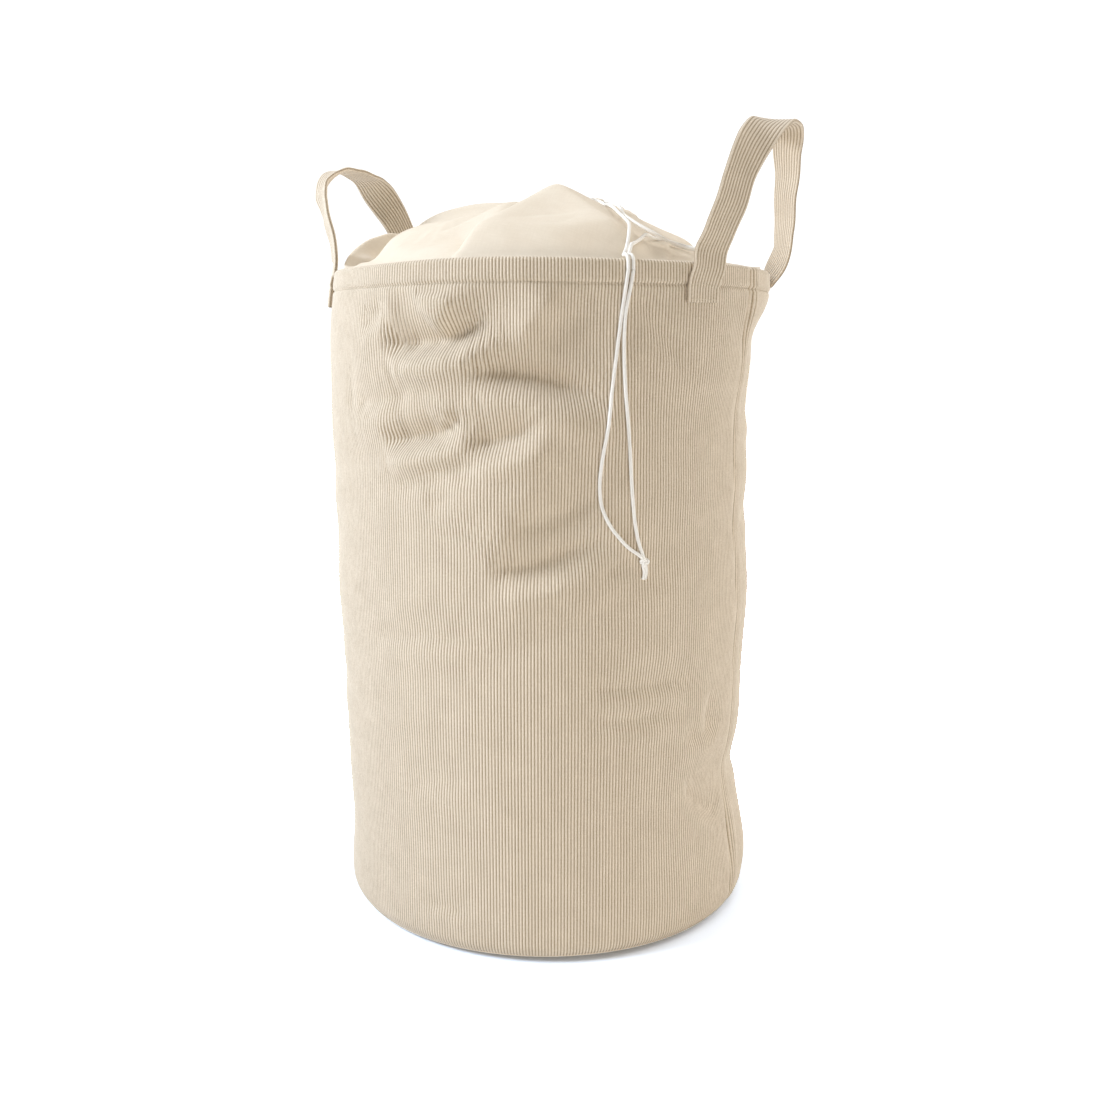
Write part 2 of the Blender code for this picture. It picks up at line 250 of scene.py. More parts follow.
def noise_at(tree, vector, scale, detail):
    inputs = {"Vector": vector, "Scale": scale, "Detail": detail, "Roughness": 0.55}
    return add_node(tree, "TexNoise", inputs).outputs["Fac"]


def ramp(tree, factor, *stops):
    """A colour that follows factor through (position, colour) stops."""
    node = add_node(tree, "ValToRGB", {"Fac": factor})
    elements = node.color_ramp.elements
    while len(elements) < len(stops):
        elements.new(0.5)
    for element, (position, colour) in zip(elements, stops):
        element.position = position
        element.color = (*colour, 1)
    return node.outputs["Color"]


def mix_colours(tree, first, second, factor=1.0, blend="MULTIPLY"):
    inputs = {0: factor, 6: first, 7: second}
    return add_node(tree, "Mix", inputs, data_type="RGBA", blend_type=blend).outputs[2]


def maths(tree, operation, *values):
    return add_node(tree, "Math", dict(enumerate(values)), operation=operation).outputs[0]


GLOSS_SOCKETS = ("Roughness", "Sheen Weight", "Sheen Roughness")
# The groove colour is partly the cloth's own and partly painted shade, for the shade that falls between the
# ribs.
GROOVE_TONE_AND_SHADE, FLANK, CREST = (0.23, 0.168, 0.108), (0.525, 0.430, 0.318), (0.885, 0.805, 0.692)


def paint_corduroy(tree):
    """Ribbed pile: darker in the grooves between the ribs, partly the cloth's own colour and partly painted
    shade, with tufts along each rib.
    """
    wale = add_node(tree, "Attribute", {}, attribute_name="wale")
    tufts = noise_at(tree, weave_of(tree, (1.0, 0.75, 1.0)), 900, 2.0)
    patches = noise_at(tree, weave_of(tree), 45, 4.0)
    pile = maths(tree, "ADD", wale.outputs["Fac"], maths(tree, "MULTIPLY_ADD", tufts, 0.40, -0.20))
    colour = ramp(tree, pile, (0.0, GROOVE_TONE_AND_SHADE), (0.42, FLANK), (1.0, CREST))
    shade = ramp(tree, patches, (0.3, (0.93, 0.925, 0.915)), (0.7, (1.0, 1.0, 1.0)))
    return mix_colours(tree, colour, shade), tufts, 0.25, 0.0005


def paint_cotton(tree):
    """Plain woven cotton, with slightly thicker threads here and there."""
    ways = ((1.0, 0.12, 1.0), (0.12, 1.0, 1.0))
    threads = maths(tree, "MULTIPLY", *[noise_at(tree, weave_of(tree, way), 700, 2.0) for way in ways])
    clouds = ramp(tree, noise_at(tree, weave_of(tree), 30, 4.0), (0.3, (0, 0, 0)), (0.7, (1, 1, 1)))
    tone = mix_colours(tree, (0.775, 0.69, 0.575), (0.815, 0.74, 0.63), clouds, "MIX")
    slubs = ramp(tree, threads, (0.1, (0.955, 0.95, 0.94)), (0.4, (1.0, 1.0, 1.0)))
    return mix_colours(tree, tone, slubs), threads, 0.25, 0.0004


def paint_twist(tree, dark, light, scale, relief):
    """Thread or braided cord: fine strands that wind round it."""
    inputs = {"Vector": weave_of(tree), "Scale": scale, "Distortion": 1.5}
    wave = add_node(tree, "TexWave", inputs, wave_type="BANDS", bands_direction="DIAGONAL")
    fibres = noise_at(tree, weave_of(tree), scale * 3, 2.0)
    strands = maths(tree, "MULTIPLY", wave.outputs["Fac"], fibres)
    return ramp(tree, strands, (0.05, dark), (0.5, light)), strands, 0.5, relief


def make_cloth(name, gloss, paint, *settings):
    """paint gives the colour, then the bump's height, strength and depth. gloss is for GLOSS_SOCKETS."""
    material = bpy.data.materials.new(name)
    tree = new_tree(material)
    colour, height, strength, distance = paint(tree, *settings)
    bump = add_node(tree, "Bump", {"Height": height, "Strength": strength, "Distance": distance})
    look = dict(zip(GLOSS_SOCKETS, gloss))
    look |= {"Base Color": colour, "Normal": bump.outputs["Normal"], "Specular IOR Level": 0.15}
    shader = add_node(tree, "BsdfPrincipled", look)
    add_node(tree, "OutputMaterial", {"Surface": shader.outputs["BSDF"]})
    return material


TWIST = ((0.8, 0.2, 0.4), paint_twist)
CLOTHS = {
    "corduroy": ((0.95, 0.25, 0.5), paint_corduroy),
    "cotton": ((0.85, 0.12, 0.45), paint_cotton),
    "thread": (*TWIST, (0.50, 0.42, 0.31), (0.78, 0.70, 0.57), 900, 0.0002),
    "cord": (*TWIST, (0.88, 0.86, 0.82), (0.97, 0.96, 0.94), 420, 0.0004),
}
MATERIALS = {name: make_cloth(name, *cloth) for name, cloth in CLOTHS.items()}


# ---------------------------------------------------------------- body

# How far the filled bag bulges: its radius by height, on its left and right as the loose cloth faces.
LEFT_BULGE = smooth_profile(
    [(0.0, 0.193), (0.03, 0.1945), (0.08, 0.1925), (0.14, 0.1945), (0.22, 0.1955), (0.3, 0.199),
     (0.38, 0.2), (0.46, 0.2022), (0.54, 0.2015), (0.575, 0.1985), (0.598, 0.194)]
)
RIGHT_BULGE = smooth_profile(
    [(0.0, 0.197), (0.035, 0.2015), (0.075, 0.1955), (0.115, 0.1885), (0.14, 0.188), (0.18, 0.1935),
     (0.24, 0.1948), (0.3, 0.1988), (0.34, 0.197), (0.377, 0.193), (0.415, 0.1955), (0.455, 0.1915),
     (0.475, 0.1908), (0.51, 0.1948), (0.545, 0.1945), (0.562, 0.1955), (0.58, 0.195), (0.598, 0.194)]
)
BULGE_TURN = math.radians(80)
# The upper part isn't quite round: how far it stands out, by degrees from the face. The front is flattened
# under the hem, and the rim is drawn out into a corner between the right handle's ends.
FLAT_FRONT = smooth_profile(
    [(-180, 0.0), (-60, 0.0), (-40, 0.003), (-20, -0.001), (0, -0.002), (15, -0.003), (25, 0.0),
     (35, 0.0045), (45, 0.009), (52, 0.01), (60, 0.007), (70, 0.002), (82, 0.0), (180, 0.0)]
)
CORNER = smooth_profile(
    [(-180, 0.002), (-140, 0.004), (-110, 0.003), (-90, 0.0), (-60, 0.0), (40, 0.0), (55, 0.003),
     (64, 0.006), (72, 0.01), (80, 0.0155), (95, 0.018), (104, 0.017), (115, 0.01), (130, 0.003),
     (150, 0.0), (180, 0.002)]
)

# Creases in the loose corduroy, in millimetres: depth (a ridge is below 0) and width, then the line it
# follows, as (degrees from the face, height).
CREASES = [
    (17.4, 9, [(-43, 535), (-36, 534), (-28, 536), (-22, 541), (-17, 549), (-13, 562)]),
    (18.5, 10, [(-20, 514), (-13, 512), (-4, 508), (5, 501), (13, 492), (18, 484)]),
    (14.0, 8, [(-44, 454), (-34, 455), (-27, 460), (-22, 470), (-19, 481)]),
    (11.8, 8, [(-20, 455), (-13, 454), (-8, 458), (-3, 466), (1, 474)]),
    (-7.8, 10, [(-6, 530), (-4, 546), (0, 562), (4, 580)]),
    (-9.5, 11, [(-29, 543), (-25, 554), (-23, 568), (-23, 582)]),
    (-5.0, 8, [(-29, 466), (-25, 474), (-23, 488)]),
    (5.0, 8, [(-60, 483), (-50, 484), (-40, 489), (-28, 495)]),
    (3.8, 7, [(-34, 430), (-26, 431), (-16, 436), (-8, 444)]),
    (2.7, 7, [(-30, 401), (-25, 406), (-21, 417)]),
    (5.0, 9, [(-10, 381), (-1, 388), (9, 400), (16, 409)]),
    (-9.0, 18, [(-14, 350), (-8, 385), (-2, 430), (-1, 475)]),
    (10.6, 9, [(-14, 347), (-3, 351), (4, 359), (11, 368), (19, 374)]),
    (2.9, 7, [(4, 337), (11, 341), (19, 351), (24, 360)]),
    (4.0, 6, [(9, 250), (19, 244), (27, 244), (36, 243), (46, 231)]),
    (2.9, 6, [(8, 221), (16, 217), (27, 216), (44, 217)]),
    (2.0, 7, [(-57, 271), (-39, 284), (-26, 287), (-15, 281), (-6, 274)]),
    (2.2, 7, [(-45, 411), (-28, 419), (-15, 424), (-3, 421), (4, 417)]),
    (2.5, 6, [(23, 580), (27, 556), (32, 533), (38, 508)]),
    (3.6, 6, [(-51, 548), (-46, 553), (-44, 562), (-46, 573)]),
    (2.0, 8, [(-42, 139), (-30, 158), (-18, 168)]),
    (3.4, 6, [(52, 230), (50, 205), (53, 180)]),
    (1.7, 4, [(-34, 40), (-26, 43), (-18, 35)]),
    (4.5, 7, [(40, 150), (45, 130), (53, 112), (60, 108)]),
    (4.5, 6, [(38, 190), (47, 188), (58, 196)]),
    (1.6, 7, [(62, 480), (72, 470), (84, 474), (96, 466)]),
    (1.7, 7, [(66, 380), (76, 376), (90, 384)]),
    (2.0, 7, [(64, 150), (76, 132), (90, 126), (104, 134)]),
    (4.5, 6, [(118, 560), (128, 548), (140, 545), (150, 552)]),
    (3.9, 6, [(150, 500), (162, 492), (176, 496), (186, 506)]),
    (3.4, 6, [(128, 430), (140, 420), (152, 424)]),
    (3.4, 7, [(196, 556), (206, 540), (220, 536)]),
    (2.9, 6, [(204, 400), (216, 392), (230, 398)]),
    (2.5, 6, [(160, 300), (176, 294), (190, 302)]),
    (2.2, 6, [(232, 250), (246, 244), (258, 252)]),
    (2.2, 6, [(130, 200), (146, 192), (160, 198)]),
    (2.7, 6, [(196, 130), (210, 122), (222, 128)]),
]
SOFT_SPOTS = 90
# Broad swellings and hollows: (degrees from the face, height, reach round, reach up, lean, depth).
BROAD_SPOTS = [
    (10, 0.552, 0.035, 0.034, 0.0, -0.0040),
    (-10, 0.560, 0.022, 0.026, 0.3, -0.0045),
    (-28, 0.562, 0.020, 0.018, 0.0, 0.0035),
    (-10, 0.530, 0.030, 0.010, 0.2, 0.0030),
    (4, 0.500, 0.034, 0.020, -0.2, -0.0050),
    (12, 0.462, 0.040, 0.016, -0.1, 0.0030),
    (-50, 0.520, 0.025, 0.030, 0.0, 0.0030),
    (-28, 0.468, 0.018, 0.012, 0.3, -0.0020),
    (-35, 0.440, 0.035, 0.012, 0.2, 0.0025),
    (25, 0.345, 0.040, 0.020, 0.3, -0.0025),
    (0, 0.330, 0.050, 0.014, 0.2, 0.0025),
]


def barrel(z):
    t = z / HEIGHT
    foot = FOOT_RADIUS * (1 - t) * (1 - 2 * t)
    return foot + WAIST_RADIUS * 4 * t * (1 - t) + RIM_RADIUS * t * (2 * t - 1)


def turned_by(turn, middle):
    """How far turn is from middle, from -pi to pi."""
    return (turn - middle + math.pi) % (2 * math.pi) - math.pi


def ease(value, low, high):
    share = np.clip((value - low) / (high - low), 0, 1)
    return share * share * (3 - 2 * share)


def bulge(turn, z):
    radius = barrel(z)
    for profile, side in ((LEFT_BULGE, -1), (RIGHT_BULGE, 1)):
        near = np.clip(np.cos(turned_by(turn, FACE + side * BULGE_TURN)), 0, 1) ** 2
        radius = radius + near * (profile(z) - barrel(z))
    angle = np.degrees(turned_by(turn, FACE))
    return radius + FLAT_FRONT(angle) * ease(z, 0.43, 0.55) + CORNER(angle) * ease(z, 0.535, 0.580)


def crease_offset(turn, z, depth, width, line):
    """A valley, gentle on the left of its line and sharp on the right, fading out at both ends."""
    line = smooth_line([(WAIST_RADIUS * math.radians(angle), high / 1000) for angle, high in line], 36)
    middle = line[:, 0].mean()
    along = WAIST_RADIUS * turned_by(turn, FACE + middle / WAIST_RADIUS) + middle
    reach = 7 * width
    near = (along > line[:, 0].min() - reach) & (along < line[:, 0].max() + reach)
    near &= (z > line[:, 1].min() - reach) & (z < line[:, 1].max() + reach)
    distance, side, closest = beside_line(np.stack([along[near], z[near]], axis=1), line)
    share = closest / (len(line) - 1)
    fade = ease(share, -0.04, 0.30) * (1 - ease(share, 0.62, 1.04))
    soft = np.sqrt(distance**2 + (0.3 * width) ** 2) - 0.3 * width
    valley = -np.exp(-soft / np.where(side > 0, 2.6 * width, 1.0 * width))
    swell = 0.50 * np.exp(-(((side * distance / width + 2.3) / 1.5) ** 2))
    offset = np.zeros(turn.shape)
    offset[near] = depth * fade * (valley + swell)
    return offset


def soft_spots():
    """Where the cloth is gently dented or pushed out: angle, height, reach along, reach up, lean, depth."""
    spots = []
    for _ in range(SOFT_SPOTS):
        turn = rng.uniform(0, 2 * math.pi)
        z = rng.uniform(0.03, 0.56)
        spots.append((turn, z, rng.uniform(0.03, 0.08), rng.uniform(0.010, 0.030), rng.uniform(-0.5, 0.5)))
    spots = [(*spot, rng.uniform(-0.0014, 0.0014)) for spot in spots]
    return spots + [(FACE + math.radians(angle), *rest) for angle, *rest in BROAD_SPOTS]


SPOTS = soft_spots()


def seam_pinch(turn, z):
    """The side seams draw the cloth in, most of all just under the hem and at the foot."""
    offset = np.zeros(turn.shape)
    for middle, strength in ((SEAM_TURN, 1.0), (SEAM_TURN + math.pi, 0.6)):
        away = WAIST_RADIUS * turned_by(turn, middle + 0.03 * np.sin(z * 9))
        top = np.exp(-(((z - 0.572) / 0.035) ** 2))
        foot = np.exp(-(((z - 0.07) / 0.035) ** 2))
        offset -= strength * (0.0020 + 0.0030 * top) * np.exp(-np.abs(away) / 0.0022)
        offset -= strength * (0.0080 * top + 0.003 * foot) * np.exp(-np.abs(away) / 0.0040)
        swell = np.exp(-(((away - 0.010) / 0.006) ** 2))
        offset += strength * (0.0006 + 0.0035 * top + 0.0015 * foot) * swell
        offset += strength * (0.0004 + 0.0020 * top) * np.exp(-(((away + 0.011) / 0.007) ** 2))
    return offset


def wall_offset(turn, z):
    """Folds, dents and pinches of the wall, on top of its bulge."""
    seam = seam_pinch(turn, z)
    offset = np.zeros(turn.shape)
    for depth, width, line in CREASES:
        offset += crease_offset(turn, z, depth / 1000, width / 1000, line)
    for middle, high, wide, tall, lean, depth in SPOTS:
        away = WAIST_RADIUS * turned_by(turn, middle)
        up = z - high - lean * away
        offset += depth * np.exp(-((away / wide) ** 2) - (up / tall) ** 2)
    calm = np.clip((HEIGHT - HEM_DEPTH - z) / 0.012, 0, 1) * np.clip(z / 0.03, 0, 1)
    return offset * (0.22 + 0.78 * calm) + seam * (0.65 + 0.35 * calm)


def rim_rise(turn):
    """The rim isn't quite level, and is highest at the front, where the cover lifts it."""
    front = np.exp(-((np.degrees(turned_by(turn, FACE)) - 3) / 46) ** 4)
    return 0.0010 * np.sin(2 * turn + 0.6) + 0.0006 * np.sin(5 * turn + 2.0) + 0.0042 * front


def wall_surface(turn, z):
    return bulge(turn, z) + wall_offset(turn, z)


def wall_points(turns, heights, off=0.0):
    """Points just off the corduroy, for what lies on it."""
    return around(wall_surface(turns, heights) + off, turns, heights)


def wall_point(turn, z, off=0.0):
    return wall_points(np.array([turn]), np.array([z]), off)[0]


def wall_rows():
    """(inset, height) of each row of the wall: under the foot, up, over the hem and down its inside."""
    foot = [(0.017, 0.0010), (0.0125, 0.0016), (0.0085, 0.0030), (0.0052, 0.0052), (0.0025, 0.0085)]
    foot += [(0.0008, 0.0125)]
    stitch = HEIGHT - HEM_DEPTH
    wall = [(0.0, z) for z in np.arange(0.0165, stitch - 0.0035, 0.0034)]
    dip = [(-0.0001, stitch - 0.0026), (0.0004, stitch - 0.0012), (0.0013, stitch), (0.0001, stitch + 0.0012)]
    hem = [(-0.0008, z) for z in np.linspace(stitch + 0.0026, HEIGHT - HEM_THICKNESS / 2 - 0.001, 6)]
    half = HEM_THICKNESS / 2
    fold = []
    for turn in np.linspace(0, math.pi, 11):
        fold.append((half - (half + 0.0008) * math.cos(turn), HEIGHT - half + half * math.sin(turn)))
    inside = [(HEM_THICKNESS + 0.0008, z) for z in np.linspace(HEIGHT - half - 0.003, stitch - 0.002, 5)]
    return np.array(foot + wall + dip + hem + fold + inside)


def rib_crests(columns):
    """How high each column of a ribbed mesh is on its rib: 0 in a groove and 1 on a crest."""
    return np.sin(math.pi * (np.arange(columns) % PER_WALE) / PER_WALE) ** 0.8


def add_wall_panel(side, start):
    """Half of the corduroy wall, from one side seam to the other, with its ribs and its turned hem."""
    columns = WALES // 2 * PER_WALE + 1
    turns = start + math.pi * np.arange(columns) / (columns - 1)
    rows = wall_rows()
    turn, inset = np.meshgrid(turns, rows[:, 0])
    _, z = np.meshgrid(turns, rows[:, 1])
    crest = np.broadcast_to(rib_crests(columns), turn.shape)
    upper = np.clip((z - HEIGHT + 2 * HEM_DEPTH) / (2 * HEM_DEPTH), 0, 1)
    surface = wall_surface(turn, np.minimum(z, HEIGHT))
    outwards = np.where(inset < HEM_THICKNESS / 2, 1.0, -1.0)
    top = np.clip((z - (HEIGHT - HEM_THICKNESS / 2)) / (HEM_THICKNESS / 2), 0, 1)
    pile = WALE_HEIGHT * (crest - 0.6) + rng.normal(0, FUZZ, turn.shape)
    radius = surface - inset + outwards * pile * np.sqrt(1 - top**2)
    points = around(radius, turn, z + rim_rise(turn) * upper + pile * top)
    uv = weave_grid(turns * WAIST_RADIUS, reach_along(rows))
    mesh = grid_mesh(f"{side}_panel_cloth", points, uv, wale=0.15 + 0.7 * crest)
    add_piece(mesh, "corduroy", f"{side}_panel")


# ---------------------------------------------------------------- lining, base and stitches

LINING_DEPTH = 0.0052  # the lining hangs this far inside the corduroy's face
COTTON = 0.0009
BASE_RADIUS = 0.1768
LINING_BASE_RADIUS = 0.1856


def shell(name, outer, inner, uv):
    """A closed thin sheet between two grids of points that go all round."""
    uv_rim = np.concatenate([uv, uv[::-1] + 0.5, uv[:1]])
    return grid_mesh(name, np.concatenate([outer, inner[::-1], outer[:1]]), uv_rim, wrap=True)


def add_lining():
    turns, heights = whole_turn(360), np.linspace(0.0042, HEIGHT - 0.008, 110)
    turn, z = np.meshgrid(turns, heights)
    radius = wall_surface(turn, z) - LINING_DEPTH
    outer, inner = around(radius, turn, z), around(radius - COTTON, turn, z)
    uv = weave_grid(turns * WAIST_RADIUS, heights)
    add_piece(shell("lining_wall_cloth", outer, inner, uv), "cotton", "lining_wall")


def disc_shell(name, radius, low, high, columns, relief=0.0):
    """A flat round sheet made of strips, so that ribs can run straight across it."""
    half = radius * math.cos(math.radians(3))
    wide = np.linspace(-half, half, columns)
    shape = (25, columns)
    across = np.broadcast_to(wide, shape)
    y = np.linspace(-1, 1, 25)[:, None] * np.sqrt(radius**2 - wide**2)
    under = np.stack([across, y, np.broadcast_to(low + relief, shape)], axis=-1)
    over = np.stack([across, y, np.full(shape, high)], axis=-1)
    uv = under[..., :2]
    crest = np.broadcast_to(1 - relief / WALE_HEIGHT, shape)
    rows = np.concatenate([under, over[::-1], under[:1]])
    wale = np.concatenate([crest, 0.5 + 0 * crest, crest[:1]])
    return grid_mesh(name, rows, np.concatenate([uv, uv[::-1], uv[:1]]), wale=wale)


def add_bases():
    """The corduroy base, ribbed below, and its lining."""
    columns = 2 * int(2 * BASE_RADIUS / WALE_PITCH) + 1
    relief = WALE_HEIGHT * (0.5 + 0.5 * np.cos(math.pi * np.arange(columns)))
    base = disc_shell("base_cloth", BASE_RADIUS, 0.0003, 0.0024, columns, relief)
    add_piece(base, "corduroy", "base_panel")
    lining = disc_shell("lining_base_cloth", LINING_BASE_RADIUS, 0.0030, 0.0038, 60)
    add_piece(lining, "cotton", "lining_base")


def stitch_mesh(name, line, length=0.0030, gap=0.0007, radius=0.00028, lift=0.0002):
    """Sewing stitches along a line: each a short thread that dips into the cloth at both ends."""
    reach = reach_along(line)
    count = max(int(reach[-1] / (length + gap)), 1)
    points, quads, uv = [], [], []
    sides = 6
    for k in range(count):
        share = (k + np.array([0.08, 0.2, 0.5, 0.8, 0.92])) / count * reach[-1]
        middle = np.stack([np.interp(share, reach, column) for column in line.T], axis=1)
        out = middle[2] * (1, 1, 0)
        out = out / max(np.linalg.norm(out), 1e-6)
        middle = middle + out * np.array([-0.0004, lift * 0.6, lift, lift * 0.6, -0.0004])[:, None]
        rings = tube_points(middle, radius * np.array([0.6, 1, 1.05, 1, 0.6]), sides, out + 0.01)
        base = len(points)
        points.extend(rings.reshape(-1, 3))
        uv.extend([(j / sides * 0.002, share[i]) for i in range(5) for j in range(sides)])
        for i in range(4):
            for j in range(sides):
                a, b = base + i * sides + j, base + i * sides + (j + 1) % sides
                quads.append((a, b, b + sides, a + sides))
        quads.append(tuple(base + j for j in range(sides))[::-1])
        quads.append(tuple(base + 4 * sides + j for j in range(sides)))
    mesh = bpy.data.meshes.new(name)
    mesh.from_pydata([tuple(map(float, p)) for p in points], [], quads)
    layer = mesh.uv_layers.new(name="weave")
    for loop in mesh.loops:
        layer.data[loop.index].uv = uv[loop.vertex_index]
    mesh.shade_smooth()
    return mesh


def add_body_stitches():
    turns = np.linspace(0, 2 * math.pi, 1401)
    line = wall_points(turns, np.full(turns.shape, HEIGHT - HEM_DEPTH), -0.00105)
    line = line + np.outer(rim_rise(turns) / 2, (0, 0, 1))
    add_piece(stitch_mesh("hem_stitches", line), "thread", "hem_thread")
    heights = np.linspace(0.016, HEIGHT - HEM_DEPTH - 0.004, 260)
    for side, start in (("right", SEAM_TURN), ("left", SEAM_TURN + math.pi)):
        line = wall_points(np.full(heights.shape, start), heights, -0.0015)
        add_piece(stitch_mesh(f"side_seam_stitches_{side}", line), "thread", f"side_seam_thread_{side}")


# ---------------------------------------------------------------- handles

RIBS_ACROSS = 11
TAB_SHIFT = {(1, -1): math.radians(-1.0), (1, 1): 0.0, (-1, -1): math.radians(-3.0), (-1, 1): 0.0}
# The sewn ends, in millimetres: (up from the rim, off the wall), and the share of the strap's lean there.
TAB_RISE = [
    (-31, 2.1, 0), (-24, 2.2, 0), (-17.5, 2.3, 0.05), (-10, 2.5, 0.35), (-2, 2.6, 0.75),
]
# Each handle's middle line above the rim, from its front end to its back one, in millimetres:
# (along the bag's depth, out from the hinge line, up from the rim).
RIGHT_ROUTE = [
    (-91.5, 7, 12), (-88.5, 13, 28.1), (-82.5, 19, 47.6), (-74, 23.2, 67.5), (-64, 28, 87.2),
    (-48, 33, 104.5), (-24, 37.5, 119), (6, 41.5, 127.8), (35, 44, 129), (57.5, 42.5, 121.5),
    (70, 40.8, 107), (79, 40.5, 86.5), (85, 38.5, 64.2), (88.5, 37.5, 42.5), (91, 35, 21.4),
]
LEFT_ROUTE = [
    (-88.5, 1, 6), (-89, 0.5, 15.3), (-88, 3.5, 33.6), (-84, 10, 54.1), (-77, 16.9, 67.4),
    (-68, 22.2, 78.5), (-54, 25, 89.3), (-34, 25.6, 97.4), (-12, 25.2, 100.8), (12, 25.4, 100.5),
    (32, 27, 96.5), (48, 27, 89), (68, 23, 73.6), (82, 17, 54.3), (89, 10, 35.2), (91.2, 4, 18),
]
# The way the width points in plan, in degrees from straight out, by the share of the handle's length.
RIGHT_FACING = [
    (0, 50), (0.34, 50), (0.43, 42), (0.49, 22), (0.54, 0), (0.6, -28), (0.7, -40), (0.8, -47),
    (0.92, -60), (1, -62),
]
LEFT_FACING = [
    (0, 60), (0.08, 56), (0.25, 53), (0.38, 42), (0.46, 18), (0.54, -8), (0.64, -44), (0.75, -58),
    (1, -62),
]
# Hand, side, route, lean at the front and back ends in degrees, facing, and tilt at the top.
HANDLES = (
    ("right", 1, RIGHT_ROUTE, (2.4, 0), RIGHT_FACING, 0.02),
    ("left", -1, LEFT_ROUTE, (1.0, 1.0), LEFT_FACING, -0.03),
)
# Where the stitches turn on a sewn end: (along the strap, share of its width from its middle).
TAB_CORNERS = [(0.0025, -0.42), (0.0025, 0.42), (0.0145, 0.42), (0.0145, -0.42), (0.0030, -0.42)]


def tab_turn(side, way):
    """Where a sewn end is, round the bag. way is -1 for a handle's front end and 1 for its back one."""
    return (0 if side > 0 else math.pi) + side * way * HANDLE_SPREAD + TAB_SHIFT[side, way]


def strap_end(side, way, lean):
    """The middle line of a sewn end, up the wall and over the hem, where it starts to lean."""
    turn = tab_turn(side, way)
    line = []
    for up, off, share in TAB_RISE:
        stand = 12 * share if (side, way) == (1, 1) else 0
        stand = -0.8 if (side, way) == (-1, -1) else stand
        place = turn - side * way * math.radians(lean) * share
        line.append(wall_point(place, HEIGHT + up / 1000, (off + stand) / 1000))
    return line


def strap_line(side, route, leans):
    front = strap_end(side, -1, leans[0])
    back = strap_end(side, 1, leans[1])
    along, out, up = np.array(route).T / 1000
    middle = np.stack([side * (HINGE_INSET + out), along, HEIGHT + up], axis=1)
    return smooth_line(np.vstack([front, middle, back[::-1]]), 150)


def strap_widths(line, side, facing, tilt):
    """The way the strap's width points along its line: flat against the wall at both sewn ends."""
    share = np.linspace(0, 1, len(line))
    plan = np.radians(smooth_profile(facing)(share))
    high = np.exp(-(((share - 0.48) / 0.13) ** 2))
    width = np.stack([side * np.cos(plan), np.sin(plan), -tilt * high], axis=1)
    for way, end, distance in ((-1, 0, share), (1, -1, 1 - share)):
        turn = tab_turn(side, way)
        near = wall_point(turn + 0.07, HEIGHT - 0.02) - wall_point(turn - 0.07, HEIGHT - 0.02)
        near *= np.sign(near @ width[end]) / np.linalg.norm(near)
        blend = np.clip(1.3 - distance / 0.09, 0, 1)[:, None]
        width = width * (1 - blend) + near * blend
    ways = ways_along(line)
    width -= ways * (width * ways).sum(1)[:, None]
    return width / np.linalg.norm(width, axis=1)[:, None]


def strap_mesh(name, line, width, out):
    """A ribbed band along a line, thickest where it is sewn on."""
    share = np.linspace(0, 1, len(line))[:, None]
    columns = RIBS_ACROSS * PER_WALE + 1
    across = np.linspace(-0.5, 0.5, columns)
    crest = rib_crests(columns)
    edge = np.clip((0.5 - np.abs(across)) / 0.045, 0, 1) ** 0.5
    ripple = 0.0006 * np.sin(share * 31 + 1) + 0.0004 * np.sin(share * 67)
    span = STRAP_WIDTH * (1 + 0.012 * np.sin(share * 23) + 0.008 * np.sin(share * 57 + 2))
    tab = np.clip((0.0165 / 0.36 - np.minimum(share, 1 - share)) / 0.003, 0, 1)
    thick = STRAP_THICKNESS * (0.9 + 0.35 * tab)
    flat = line[:, None] + width[:, None] * (across * span)[..., None]
    faces = []
    for sign in (1, -1):
        lift = sign * (thick / 2 * edge + (crest - 0.5) * 0.0006 * edge)
        lift = lift + (ripple + 0.0008 * (2 * across) ** 2) * (1 - tab) + rng.normal(0, PILE, lift.shape)
        faces.append(flat + out[:, None] * lift[..., None])
    top, under = faces
    ring = np.concatenate([top, under[:, ::-1][:, 1:-1]], axis=1)
    turns = np.concatenate([across, across[::-1][1:-1]]) * STRAP_WIDTH
    wale = 0.15 + 0.7 * np.concatenate([crest, crest[::-1][1:-1]])
    uv, wale = weave_grid(turns, reach_along(line)), np.broadcast_to(wale, ring.shape[:2])
    mesh = grid_mesh(name, ring, uv, wrap=True, wale=wale)
    close_ends(mesh, ring.shape[1], len(line))
    return mesh


def tab_stitch_line(line, width):
    """Round a sewn end: along its foot, up one side, back across under the hem's fold, and down."""
    reach = reach_along(line)
    points = []
    for start, end in zip(np.array(TAB_CORNERS), np.array(TAB_CORNERS[1:])):
        for along, across in np.linspace(start, end, 14):
            middle = np.array([np.interp(along, reach, column) for column in line.T])
            away = middle * (1, 1, 0) / np.linalg.norm(middle[:2])
            points.append(middle + width[3] * across * STRAP_WIDTH + away * 0.0020)
    return np.array(points)


def add_handle(hand, side, route, leans, facing, tilt):
    line = strap_line(side, route, leans)
    width = strap_widths(line, side, facing, tilt)
    out = np.cross(width, ways_along(line)) * side
    ends = [f"handle_{hand}_{place}_{kind}" for place in ("front", "back") for kind in ("root", "tab")]
    mesh = strap_mesh(f"handle_{hand}_band", line, width, out)
    strap = add_piece(mesh, "corduroy", f"handle_{hand}_strap", *ends, body=None)
    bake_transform(strap)
    for place, order in (("front", 1), ("back", -1)):
        stitches = tab_stitch_line(line[::order], width[::order])
        mesh = stitch_mesh(f"handle_{hand}_{place}_stitches", stitches, length=0.0024)
        add_piece(mesh, "thread", f"handle_{hand}_{place}_tab_thread")


# ---------------------------------------------------------------- gathered cover

